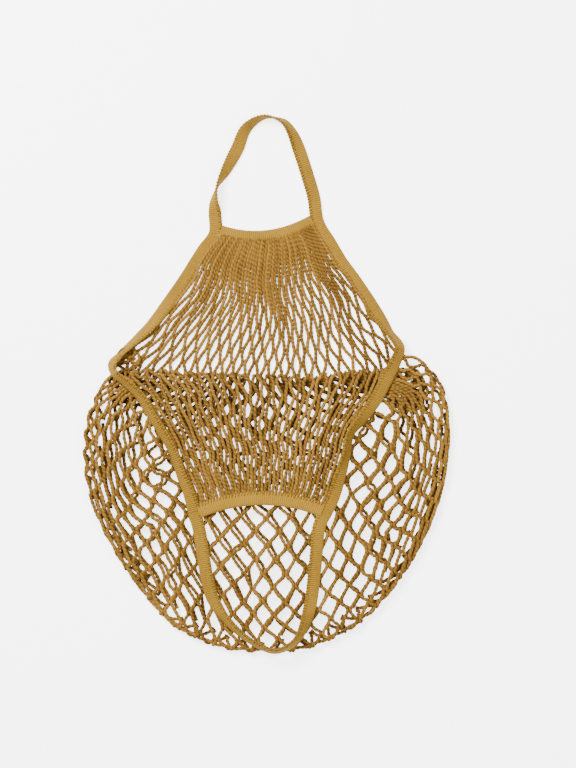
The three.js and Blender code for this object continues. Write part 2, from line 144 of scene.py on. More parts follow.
# Pouch outline: side is a share of half the width, down a share of the height below the fold
OUTLINE_ROWS = [
    (-0.838, -0.022), (-0.870, 0.020), (-0.959, 0.125), (-0.997, 0.238), (-0.989, 0.384),
    (-0.913, 0.537), (-0.806, 0.669), (-0.680, 0.783), (-0.549, 0.886), (-0.363, 0.958),
    (-0.189, 0.993),
    (0.000, 1.000), (0.200, 0.992), (0.370, 0.950), (0.525, 0.890), (0.658, 0.801),
    (0.773, 0.700), (0.893, 0.552), (0.970, 0.400), (1.000, 0.210), (0.975, 0.080),
    (0.915, 0.005), (0.800, -0.060), (0.735, -0.080),
]
outline = Edge(catmull([place(side * HALF, -down * POUCH_HEIGHT) for side, down in OUTLINE_ROWS]))


def outline_inward(share):
    step = 1e-3
    along = outline.at(np.clip(share + step, 0, 1)) - outline.at(np.clip(share - step, 0, 1))
    along /= np.linalg.norm(along, axis=-1, keepdims=True)
    return np.stack([-along[..., 1], along[..., 0]], axis=-1)


def inside_outline(share, distance):
    share = np.asarray(share, float)
    distance = np.broadcast_to(distance, share.shape)
    return outline.at(share) + outline_inward(share) * distance[..., None]


def front_underside(y):
    return NET_THICKNESS + INSIDE_AT_MOUTH + (INSIDE_AT_FOOT - INSIDE_AT_MOUTH) * (-y / POUCH_HEIGHT)


def front_top(y):
    return front_underside(y) + NET_THICKNESS


# The tape's loop, with the same rows as the part: side, reach, roll in degrees, rest level
BACK_FOOT_LEFT = place(-BACK_HANDLE_SPREAD / 2, MOUTH_RISE)
BACK_FOOT_RIGHT = place(BACK_HANDLE_SPREAD / 2, MOUTH_RISE + BACK_BAND_TILT)
FRONT_FOOT_LEFT = place(FRONT_HANDLE_SHIFT - FRONT_HANDLE_SPREAD / 2, -FLAP_DROP)
FRONT_FOOT_RIGHT = place(FRONT_HANDLE_SHIFT + FRONT_HANDLE_SPREAD / 2, -FLAP_DROP)
CORNER_LEFT = place(-0.835 * HALF, 0.025 * POUCH_HEIGHT)
CORNER_RIGHT = place(0.724 * HALF, 0.082 * POUCH_HEIGHT)

TAPE_ROWS = {
    "back_handle": [
        (-1.000, 0.000, 0, 0), (-1.000, 0.160, 5, 0), (-1.010, 0.277, 55, 0),
        (-0.956, 0.387, 90, 0), (-0.790, 0.521, 135, 0), (-0.568, 0.706, 178, 0),
        (-0.383, 0.882, 140, 0), (-0.030, 0.975, 100, 0), (0.335, 0.933, 60, 0),
        (0.490, 0.840, 40, 0), (0.626, 0.689, 8, 0), (0.800, 0.437, 0, 0), (0.917, 0.240, 0, 0),
    ],
    "back_edge_right": [
        (0.000, 0.000, 0, 0), (0.154, 0.168, 0, 0), (0.278, 0.304, 0, 0), (0.432, 0.440, 0, 0),
        (0.593, 0.592, 0, 0), (0.704, 0.704, 8, 0), (0.877, 0.875, 55, 0.1),
    ],
    "front_edge_right": [
        (0.000, 0.000, 40, 0.7), (0.068, 0.092, 25, 1), (0.164, 0.175, 10, 1),
        (0.329, 0.316, 10, 1), (0.521, 0.436, 35, 1), (0.671, 0.521, 52, 1),
        (0.726, 0.644, 52, 1), (0.815, 0.785, 25, 1), (0.918, 0.926, 0, 1),
    ],
    "front_handle": [
        (1.000, 0.000, 0, 1), (0.893, 0.104, 0, 1), (0.855, 0.269, 0, 1), (0.821, 0.434, 0, 1),
        (0.763, 0.652, 0, 1), (0.679, 0.792, 36, 1), (0.542, 0.914, 58, 1), (0.237, 0.990, 64, 1),
        (-0.084, 0.935, 62, 1), (-0.328, 0.853, 56, 1), (-0.550, 0.742, 45, 1),
        (-0.725, 0.613, 10, 1), (-0.802, 0.487, 0, 1), (-0.863, 0.323, 0, 1),
        (-0.924, 0.140, 0, 1),
    ],
    "front_edge_left": [
        (0.000, 0.000, 0, 1), (0.074, 0.142, 25, 1), (0.160, 0.250, 42, 1), (0.235, 0.378, 45, 1),
        (0.358, 0.510, 45, 1), (0.506, 0.642, 45, 1), (0.654, 0.777, 45, 1),
        (0.827, 0.872, 50, 1), (0.963, 0.932, 62, 1),
    ],
    "back_edge_left": [
        (0.000, 0.000, 78, 0.45), (0.060, 0.065, 70, 0.05), (0.241, 0.198, 48, 0),
        (0.384, 0.309, 35, 0), (0.567, 0.496, 5, 0), (0.709, 0.656, 0, 0), (0.882, 0.870, 0, 0),
    ],
}


def between(start, end):
    return lambda side, reach: place(
        start[0] + side * (end[0] - start[0]), start[1] + reach * (end[1] - start[1])
    )


def on_back_handle(side, reach):
    foot = np.interp(side, [-1, 1], [BACK_FOOT_LEFT[1], BACK_FOOT_RIGHT[1]])
    rise = BACK_FOOT_LEFT[1] + BACK_HANDLE_HEIGHT - foot
    return place(side * BACK_HANDLE_SPREAD / 2, foot + reach * rise)


def on_front_handle(side, reach):
    return place(
        FRONT_HANDLE_SHIFT + side * FRONT_HANDLE_SPREAD / 2, -FLAP_DROP - reach * FRONT_HANDLE_DROP
    )


TAPE_PLACES = {
    "back_handle": on_back_handle,
    "back_edge_right": between(BACK_FOOT_RIGHT, CORNER_RIGHT),
    "front_edge_right": between(CORNER_RIGHT, FRONT_FOOT_RIGHT),
    "front_handle": on_front_handle,
    "front_edge_left": between(FRONT_FOOT_LEFT, CORNER_LEFT),
    "back_edge_left": between(CORNER_LEFT, BACK_FOOT_LEFT),
}

loop_points = []
loop_values = []
piece_start = {}
for piece_name, rows in TAPE_ROWS.items():
    piece_start[piece_name] = len(loop_points)
    for side, reach, roll, rest in rows:
        loop_points.append(TAPE_PLACES[piece_name](side, reach))
        loop_values.append((roll, rest))
LOOP_STEPS = 24
loop_plan = catmull(loop_points, closed=True, per_segment=LOOP_STEPS)[:-1]
loop_count = len(loop_points)


def on_loop(rows):
    """Plan position of the tape's centre line, so many rows round the loop."""
    steps = np.asarray(rows, float) * LOOP_STEPS
    grid = np.arange(len(loop_plan))
    return np.stack(
        [np.interp(steps, grid, column, period=len(loop_plan)) for column in loop_plan.T], axis=-1
    )


def loop_value(rows, column):
    values = np.array([value[column] for value in loop_values], float)
    return np.interp(np.asarray(rows, float), np.arange(loop_count), values, period=loop_count)


def rolled_plan(roll):
    turn = np.radians(roll)
    return (TAPE_WIDTH * abs(np.cos(turn)) + TAPE_THICKNESS * abs(np.sin(turn))) / 2


def rolled_height(roll):
    turn = np.radians(roll)
    return (TAPE_WIDTH * abs(np.sin(turn)) + TAPE_THICKNESS * abs(np.cos(turn))) / 2


# Room under the tape for its stitches
LIFT = 0.3


def tape_centre(rows):
    plan = on_loop(rows)
    level = loop_value(rows, 1) * (front_top(plan[..., 1]) + GAP)
    height = level + rolled_height(loop_value(rows, 0)) + LIFT
    return np.concatenate([plan, height[..., None]], axis=-1)


def beside_tape(name, rows, tuck):
    """A plan point on the tape's net side, so many rows on from a piece's start."""
    where = piece_start[name] + np.asarray(rows, float)
    along = on_loop(where + 0.02) - on_loop(where - 0.02)
    along /= np.linalg.norm(along, axis=-1, keepdims=True)
    to_net = np.stack([along[..., 1], -along[..., 0]], axis=-1)
    distance = rolled_plan(loop_value(where, 0)) - tuck
    return on_loop(where) + to_net * distance[..., None]


# Tubes and swept bands are built as arrays, many strands in one mesh
def mesh_from(name, points, quads, uvs, shades):
    """A mesh object in metres from points, quads and one uv for each corner of each quad."""
    mesh = bpy.data.meshes.new(name)
    mesh.vertices.add(len(points))
    mesh.vertices.foreach_set("co", (np.asarray(points) * MM).ravel().astype(np.float32))
    mesh.loops.add(quads.size)
    mesh.loops.foreach_set("vertex_index", quads.ravel().astype(np.int32))
    mesh.polygons.add(len(quads))
    mesh.polygons.foreach_set("loop_start", np.arange(0, quads.size, 4, dtype=np.int32))
    layer = mesh.uv_layers.new(name="UVMap")
    layer.data.foreach_set("uv", uvs.reshape(-1).astype(np.float32))
    shade = mesh.attributes.new("shade", "FLOAT", "POINT")
    shade.data.foreach_set("value", shades.astype(np.float32))
    mesh.update(calc_edges=True)
    mesh.validate()
    mesh.polygons.foreach_set("use_smooth", np.ones(len(mesh.polygons), bool))
    piece = bpy.data.objects.new(name, mesh)
    bpy.context.scene.collection.objects.link(piece)
    return piece


def swept(path, section, across, face):
    """Rings of a section along a path: points, quads and uvs, open at both ends."""
    rings, sides = len(path), len(section)
    points = path[:, None] + section[None, :, :1] * across[:, None]
    points = (points + section[None, :, 1:] * face[:, None]).reshape(-1, 3)
    ring = np.arange(rings - 1)[:, None] * sides
    side = np.arange(sides)[None]
    next_side = (side + 1) % sides
    quads = np.stack([ring + side, ring + next_side, ring + sides + next_side, ring + sides + side], -1)
    steps = np.linalg.norm(np.diff(path, axis=0), axis=1)
    along = np.concatenate([[0], np.cumsum(steps)])
    u0 = np.broadcast_to(side / sides, (rings - 1, sides))
    u1 = np.broadcast_to((side + 1) / sides, (rings - 1, sides))
    v0 = np.broadcast_to(along[:-1, None], (rings - 1, sides))
    v1 = np.broadcast_to(along[1:, None], (rings - 1, sides))
    uvs = np.stack([np.stack([u0, v0], -1), np.stack([u1, v0], -1),
                    np.stack([u1, v1], -1), np.stack([u0, v1], -1)], 2)
    return points, quads.reshape(-1, 4), uvs.reshape(-1, 4, 2)


def join(parts):
    """Joins (points, quads, uvs, shades) parts into one set of arrays."""
    points, quads, uvs, shades, start = [], [], [], [], 0
    for part_points, part_quads, part_uvs, part_shades in parts:
        points.append(part_points)
        quads.append(part_quads + start)
        uvs.append(part_uvs)
        shades.append(part_shades)
        start += len(part_points)
    return np.concatenate(points), np.concatenate(quads), np.concatenate(uvs), np.concatenate(shades)


def unit(vectors):
    return vectors / np.maximum(np.linalg.norm(vectors, axis=-1, keepdims=True), 1e-9)


PLY_RISE = 0.10
PLY_PITCH = 4.4


def tube(path, diameter, sides, shade, phase=0.0, twisted=True):
    """A strand along a path: two plies twisted together, or a plain round thread."""
    along = unit(np.gradient(path, axis=0))
    upright = np.array([0.0, 0.0, 1.0])
    across = np.cross(along, upright)
    steep = np.linalg.norm(across, axis=1) < 0.3
    across[steep] = np.cross(along[steep], [0.0, 1.0, 0.0])
    across = unit(across)
    for index in range(1, len(across)):
        if np.dot(across[index], across[index - 1]) < 0:
            across[index] = -across[index]
    face = np.cross(across, along)
    corner = np.arange(sides) / sides * 2 * math.pi
    radius = np.full(sides, diameter / 2)
    if twisted:
        radius = radius * (1 + PLY_RISE * np.cos(2 * corner))
        steps = np.linalg.norm(np.diff(path, axis=0), axis=1)
        turn = np.concatenate([[0], np.cumsum(steps)])[:, None] * math.pi / PLY_PITCH + phase
        across, face = (across * np.cos(turn) + face * np.sin(turn),
                        face * np.cos(turn) - across * np.sin(turn))
    section = np.stack([np.cos(corner) * radius, np.sin(corner) * radius], -1)
    points, quads, uvs = swept(path, section, across, face)
    return points, quads, uvs, np.repeat(np.broadcast_to(shade, len(path)), sides)


# The net's surface. Each sheet takes a share across and a row, and gives a place in millimetres.
UPPER_ROWS = 10
POUCH_ROWS = 22
FLAP_ROWS = 9
COLUMNS = 22
FLAP_COLUMNS = 20
FOOT_FROM = 0.25
FOOT_TO = 0.75
SECTION_TALL = (INSIDE_AT_MOUTH + NET_THICKNESS) / 2
SECTION_DEEP = SIDE_DEPTH - NET_THICKNESS / 2

turns = np.linspace(math.pi / 2, -math.pi / 2, 400)
section_steps = np.hypot(
    np.diff(SECTION_DEEP * np.cos(turns)), np.diff(SECTION_TALL * np.sin(turns))
)
section_arc = np.concatenate([[0], np.cumsum(section_steps)])
WRAP = section_arc[-1]

dense_shares = np.linspace(0, 1, 1600)
dense_outline = outline.at(dense_shares)
dense_inward = outline_inward(dense_shares)


def beside_outline(points):
    """The outline's nearest place to each point, its inward direction and the distance inside."""
    gaps = ((points[:, None] - dense_outline[None]) ** 2).sum(-1)
    nearest = gaps.argmin(1)
    foot = dense_outline[nearest]
    inward = dense_inward[nearest]
    return foot, inward, ((points - foot) * inward).sum(-1)


def wrapped(flat_points):
    """Lays the front sheet over the pouch, and its margin round the side and under."""
    foot, inward, inside = beside_outline(flat_points)
    arc = np.clip(SIDE_DEPTH - inside, 0, WRAP)
    turn = np.interp(arc, section_arc, turns)
    inset = NET_THICKNESS / 2 + SECTION_DEEP * (1 - np.cos(turn))
    plan = np.where((inside < SIDE_DEPTH)[:, None], foot + inward * inset[:, None], flat_points)
    low = CORD_REST
    high = front_underside(plan[:, 1]) + NET_THICKNESS / 2
    height = np.where(
        inside < SIDE_DEPTH, (low + high) / 2 + (high - low) / 2 * np.sin(turn), high
    )
    return np.concatenate([plan, height[:, None]], axis=1)


def blended(top, foot, left, right, across, along):
    """A sheet between four edges; the sides' bulge counts less for height in the middle."""
    u, v = across[:, None], along[:, None]
    left_bulge = left(along) - top(0.0) * (1 - v) - foot(0.0) * v
    right_bulge = right(along) - top(1.0) * (1 - v) - foot(1.0) * v
    left_weight = np.concatenate([1 - u, (1 - u) ** 2], axis=1)
    right_weight = np.concatenate([u, u ** 2], axis=1)
    between = top(across) * (1 - v) + foot(across) * v
    return between + left_weight * left_bulge + right_weight * right_bulge


# The fold's sag reaches this share of the way to the pouch's sides
FOLD_SHARE = 0.6


def fold_line():
    side = np.linspace(-1, 1, 9)
    return np.stack([side * FOLD_SHARE * HALF, -FOLD_SAG * (1 - side ** 2)], axis=-1)


# The margin ends where a row of joints comes to lie on the outline at the foot
UNDER_REACH = POUCH_HEIGHT / (POUCH_ROWS - 1)
CORNER_INSET = 3.0
CORNER_SHARE = 0.07


def rim_reach(share):
    """How far the front sheet's flat margin goes beyond the outline; less at the corners."""
    grown = np.clip(np.minimum(share, 1 - np.asarray(share)) / CORNER_SHARE, 0, 1)
    grown = grown * grown * (3 - 2 * grown)
    return -CORNER_INSET + (UNDER_REACH + CORNER_INSET) * grown


def rim(share):
    return inside_outline(share, -rim_reach(share))


# The front starts at the tape's two corners and goes down both sides of the outline
front_top_edge = Edge(catmull([CORNER_LEFT, *fold_line(), CORNER_RIGHT]))
SIDE_START = 0.02
front_left_edge = Edge([CORNER_LEFT, *rim(np.linspace(SIDE_START, FOOT_FROM, 60))])
front_right_edge = Edge([CORNER_RIGHT, *rim(np.linspace(1 - SIDE_START, FOOT_TO, 60))])


RIM_CROWDING = 0.045
CROWDING_ROWS = ([0, 0.15, 0.45, 0.8], [0, 1, 0.8, 0])


def front_flat(across, along):
    """Columns crowd towards the rims below the fold."""
    across, along = np.asarray(across, float), np.asarray(along, float)
    crowding = RIM_CROWDING * np.interp(along, *CROWDING_ROWS)
    across = across - crowding * np.sin(2 * math.pi * across)
    return blended(
        front_top_edge.at,
        lambda u: rim(FOOT_FROM + (FOOT_TO - FOOT_FROM) * u),
        front_left_edge.at,
        front_right_edge.at,
        across, along,
    )


# The band's ends stand in from the tape by this share of the band's width
BAND_INSET = 0.05


def mouth_band_line(start, end, bow, width, from_share, to_share, side=0.0):
    """Points along a mouth band, offset to one side of it by a share of its width."""
    chord = (end - start) / np.linalg.norm(end - start) * width * BAND_INSET
    start, end = start + chord, end - chord
    share = np.linspace(from_share, to_share, 21)[:, None]
    line = start * (1 - share) + end * share
    line[:, 1] += (bow * 4 * share * (1 - share))[:, 0]
    along = (end - start) + np.concatenate([0 * share, bow * 4 * (1 - 2 * share)], axis=1)
    along = unit(along)
    return line + np.stack([-along[:, 1], along[:, 0]], -1) * side * width


BACK_BAND = (beside_tape("back_handle", 0.15, -GAP), beside_tape("back_edge_right", -0.1, -GAP),
             -BACK_BAND_SAG, BACK_BAND_WIDTH)
FRONT_BAND = (beside_tape("front_edge_left", 0.0, -GAP), beside_tape("front_handle", 0.0, -GAP),
              FRONT_BAND_ARCH, FRONT_BAND_WIDTH)

TAPE_TUCK = 3.2
back_top_edge = Edge(mouth_band_line(*BACK_BAND, -0.02, 1.02, -0.3))
back_left_tape = Edge(np.concatenate([
    back_top_edge.points[:1], beside_tape("back_handle", -np.linspace(0.7, 7.35, 40), TAPE_TUCK)
]))
back_right_tape = Edge(np.concatenate([
    back_top_edge.points[-1:], beside_tape("back_edge_right", np.linspace(0.6, 7.15, 40), TAPE_TUCK)
]))
MIDDLE_CROWDING = 0.016
# Shares of the upper back and of the pouch over which the crowding comes and goes
CROWDING_COMES = 0.4
CROWDING_GOES = 0.3
# How far the back lies aside of the front, row by row down the pouch
ASIDE_ROWS = ([0, 0.28, 0.55, 1], [0, 4.0, 1.8, 1.2])
ASIDE_WAY = (1.0, 0.4)
# The back's corners are drawn to the tape over this share of the pouch, and this steeply
CORNER_ALONG = 0.2
CORNER_POWER = 6


def crowded(across, strength):
    """Columns drawn together in the middle of the back."""
    across = np.asarray(across, float)
    return across + MIDDLE_CROWDING * strength * np.sin(2 * math.pi * across)


def back_pouch(across, along):
    """The back's pouch lies under the front's, a little shifted, and more so below the flap."""
    across = crowded(across, np.clip(1 - np.asarray(along) / CROWDING_GOES, 0, 1))
    aside = np.interp(along, *ASIDE_ROWS)
    points = front_wander(front_flat(across, along)) + aside[:, None] * ASIDE_WAY
    corners = front_wander(front_flat(np.array([0.0, 1.0]), np.zeros(2)))
    near_fold = np.clip(1 - np.asarray(along) / CORNER_ALONG, 0, 1)
    to_left = (near_fold * (1 - across) ** CORNER_POWER)[:, None]
    to_right = (near_fold * across ** CORNER_POWER)[:, None]
    points = points + to_left * (back_left_tape.at(1.0) - corners[0])
    points = points + to_right * (back_right_tape.at(1.0) - corners[1])
    return points + (drift(points, 1.3, 150, 13) + drift(points, 0.6, 40, 14)) * held(points)


flap_left = Edge(beside_tape("front_edge_left", np.linspace(7.6, 0.05, 30), TAPE_TUCK))
flap_right = Edge(beside_tape("front_handle", -np.linspace(7.7, 0.05, 30), TAPE_TUCK))
flap_top_edge = Edge(catmull([flap_left.at(0.0), *fold_line(), flap_right.at(0.0)]))
flap_foot_edge = Edge(mouth_band_line(*FRONT_BAND, -0.03, 1.03, 0.15))


def flap_flat(across, along):
    return blended(
        flap_top_edge.at, flap_foot_edge.at, flap_left.at, flap_right.at, across, along
    )


DRIFT_WAVES = 7
DRIFT_SUM = 2.6


def drift(points, size, wavelength, seed):
    """Smooth wandering of points in plan: a few waves that cross at random angles."""
    waves = np.random.default_rng(seed)
    shift = np.zeros_like(points[:, :2])
    for _ in range(DRIFT_WAVES):
        angle = waves.uniform(0, 2 * math.pi)
        length = wavelength * waves.uniform(0.7, 1.6)
        phase = waves.uniform(0, 2 * math.pi)
        push = waves.normal(size=2)
        wave = np.sin((points[:, 0] * math.cos(angle) + points[:, 1] * math.sin(angle))
                      * 2 * math.pi / length + phase)
        shift += wave[:, None] * push * size / DRIFT_SUM
    return shift


def swirl(points, centre, radius, degrees):
    """Turns the lattice about a place, fading out with distance."""
    away = points - np.asarray(centre, float)
    share = np.exp(-(away ** 2).sum(-1) / (2 * radius ** 2))
    turn = np.radians(degrees) * share
    x = away[:, 0] * np.cos(turn) - away[:, 1] * np.sin(turn)
    y = away[:, 0] * np.sin(turn) + away[:, 1] * np.cos(turn)
    return np.stack([x, y], -1) + np.asarray(centre, float)


def pinch(points, centre, radius, pull):
    """Bunches the lattice towards a place, fading out with distance."""
    away = points - np.asarray(centre, float)
    share = np.exp(-(away ** 2).sum(-1, keepdims=True) / (2 * radius ** 2))
    return points - away * share * pull


# Where the slack net is bunched beside the mouth's corners
HEAPS = (CORNER_LEFT + (10, -23), CORNER_RIGHT + (11, -45))

# Centre, radius and degrees of each turn of the front; centre, radius and pull of each pinch
FRONT_TURNS = [((-12, -190), 55, -8), ((-116, -122), 36, 20), ((114, -118), 36, -20)]
FRONT_PINCHES = [(HEAPS[0], 23, 0.42), (HEAPS[1], 28, 0.46)]

# Distance over which the net grows free of the tape's corners, and the share of it that is held
HELD_RADIUS = 60
HELD_SHARE = 0.1
# How wide the still margin of the front is, and over what width the turning fades in
STILL_MARGIN = 4
MARGIN_FADE = 26


def held(points):
    """How free the net is to wander: not at all where the tape's corners hold it."""
    near = [np.linalg.norm(points - corner, axis=-1) for corner in (CORNER_LEFT, CORNER_RIGHT)]
    return np.clip(np.minimum(*near) / HELD_RADIUS - HELD_SHARE, 0, 1)[:, None]


def front_wander(points):
    """The front's lattice turned, bunched and drifting, but still at the rim and the corners."""
    inside = beside_outline(points)[2]
    free = np.clip((inside - STILL_MARGIN) / MARGIN_FADE, 0, 1)[:, None]
    start = points
    for centre, radius, degrees in FRONT_TURNS:
        points = swirl(points, centre, radius, degrees)
    for centre, radius, pull in FRONT_PINCHES:
        points = pinch(points, centre, radius, pull)
    points = start + (points - start) * free
    return points + (drift(points, 2.2, 110, 3) + drift(points, 0.8, 34, 4)) * held(points)


def back_upper(across, along):
    """The back net above the fold, from the band down between the tapes to the pouch."""
    steps = np.linspace(0, 1, 81)
    foot = Edge(back_pouch(steps, np.zeros(81)))
    across = crowded(across, np.clip(along / CROWDING_COMES, 0, 1))
    points = blended(
        back_top_edge.at, foot.at, back_left_tape.at, back_right_tape.at, across, along
    )
    loose = np.sin(np.clip(along, 0, 1) * math.pi)[:, None]
    return points + (drift(points, 2.0, 60, 15) + drift(points, 0.9, 28, 16)) * loose


def flap_wander(points):
    return points + drift(points, 0.7, 40, 23)


# How slack the net is everywhere, and how much more so at the sides and in the heaps
SLACK = 0.6
SIDE_SLACK = 1.6
SIDE_SLACK_FROM = 75
SIDE_SLACK_FADE = 35
HEAP_SLACK = 2.2
HEAP_SLACK_RADIUS = 30
# Near the outline there is less of the slack, down to the least share of it
RIM_SLACK_FROM = 12
RIM_SLACK_FADE = 16
LEAST_SLACK = 0.1


def looseness(point):
    """The net is pulled straight in the middle and lies slack at the sides of the pouch."""
    past = (abs(point[0]) - SIDE_SLACK_FROM) / SIDE_SLACK_FADE
    sides = SIDE_SLACK * min(max(past, 0), 1) * (point[1] < 0)
    spread = 2 * HEAP_SLACK_RADIUS ** 2
    heaps = [math.exp(-((point - heap) ** 2).sum() / spread) for heap in HEAPS]
    inside = beside_outline(point[None])[2][0]
    near_rim = min(max((inside - RIM_SLACK_FROM) / RIM_SLACK_FADE, LEAST_SLACK), 1)
    return SLACK + (sides + HEAP_SLACK * max(heaps)) * near_rim


LEG_LENGTH = 17.5
CLOSED_SPREAD = 0.43
# A mesh of this half width is closed, and one of twice it is open
NARROW_MESH = 4.0
# How far a strand bows between joints, how that varies, and how often it changes sides
BOW_SHARE = 0.6
MOST_SPARE = 0.35
LEAST_BOW = 0.02
BOW_VARIES = (0.4, 1.0)
BOW_JITTER = 0.25
SIDE_CHANGES = 0.35


def strand_paths(places, seed, slack):
    """Flat paths of a sheet's strands. places[row, column] are its nodes, at half-mesh columns."""
    dice = np.random.default_rng(seed)
    rows, columns = places.shape[:2]
    down = unit(np.gradient(places, axis=0))
    over = np.gradient(places, axis=1)
    room = np.linalg.norm(over, axis=-1)
    over = unit(over - (over * down).sum(-1, keepdims=True) * down)
    paths = []
    for strand in range(columns - 1):
        controls = []
        bow_side = 1.0
        for row in range(rows):
            right = (row + strand) % 2
            column = strand + right
            own_side = -1.0 if right else 1.0
            spread = min(JOINT_SPREAD, room[row, column] * CLOSED_SPREAD)
            beside = places[row, column] + over[row, column] * own_side * spread
            half_joint = down[row, column] * JOINT_LENGTH / 2
            if row:
                before = controls[-1]
                leg = beside - half_joint - before
                length = np.linalg.norm(leg)
                spare = max(LEG_LENGTH - JOINT_LENGTH - length, 0.0) / max(length, 1.0)
                open_share = np.clip((room[row, column] - NARROW_MESH) / NARROW_MESH, 0, 1)
                bow = length * BOW_SHARE * math.sqrt(min(spare, MOST_SPARE) + LEAST_BOW)
                bow = bow * slack * open_share * looseness(before)
                bow = bow * dice.uniform(*BOW_VARIES) + dice.normal() * BOW_JITTER
                if dice.uniform() < SIDE_CHANGES:
                    bow_side = -bow_side
                aside = unit(np.array([leg[1], -leg[0]]))
                controls.append(before + leg / 2 + aside * bow * bow_side)
            controls += [beside - half_joint, beside + half_joint]
        paths.append(catmull(controls, per_segment=6))
    return paths


def sheet_nodes(flat_at, rows_share, meshes=COLUMNS):
    """Nodes of a sheet at every half-mesh column, row by row, in the flat."""
    columns = np.arange(2 * meshes + 1) / (2 * meshes)
    grid_v, grid_u = np.meshgrid(rows_share, columns, indexing="ij")
    flat_points = flat_at(grid_u.ravel(), grid_v.ravel())
    return flat_points.reshape(len(rows_share), len(columns), 2)


def laid(paths, lift):
    """Lays flat strand paths on a surface."""
    ends = np.cumsum([len(path) for path in paths])[:-1]
    return np.split(lift(np.concatenate(paths)), ends)


STRAND_STEP = 1.25


def evenly(path):
    """The same path with steps of one length."""
    line = Edge(path)
    return line.at(np.linspace(0, 1, max(int(line.length / STRAND_STEP), 4)))


COVERED_SHADE = -0.9
COVER_FADE = 8


def covered(path):
    """Shade along the pouch's front where the flap covers it and keeps out the light."""
    left = np.interp(-path[:, 1], -flap_left.points[:, 1], flap_left.points[:, 0])
    right = np.interp(-path[:, 1], -flap_right.points[:, 1], flap_right.points[:, 0])
    depth = np.minimum(np.minimum(path[:, 0] - left, right - path[:, 0]), path[:, 1] + FLAP_DROP)
    return COVERED_SHADE * np.clip(np.minimum(depth, -path[:, 1]) / COVER_FADE, 0, 1)


HEAP_SHADE = -1.0
HEAP_RADIUS = 20


def heaped(path):
    """Shade along the back where the net bunched over it keeps out the light."""
    spread = 2 * HEAP_RADIUS ** 2
    over = [np.exp(-((path[:, :2] - heap) ** 2).sum(-1) / spread) for heap in HEAPS]
    return HEAP_SHADE * np.maximum(*over)


CORD_SIDES = 8


def net_piece(name, paths, diameter, replaced, seed, cover=None):
    dice = np.random.default_rng(seed)
    parts = []
    for path in paths:
        path = evenly(path)
        shade = dice.uniform() + (cover(path) if cover else 0)
        parts.append(tube(path, diameter, CORD_SIDES, shade, dice.uniform(0, math.pi)))
    piece = mesh_from(name, *join(parts))
    piece.data.materials.append(cord_material)
    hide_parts(*replaced)
    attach(piece, "root")


# Materials
FLUFF_SCALE = 900.0
FLUFF_SHARE = 0.45
PATCH_SCALE = 38.0
PATCH_SHARE = 0.3


def node(tree, kind, place, **values):
    made = tree.nodes.new(kind)
    made.location = place
    for key, value in values.items():
        setattr(made, key, value)
    return made


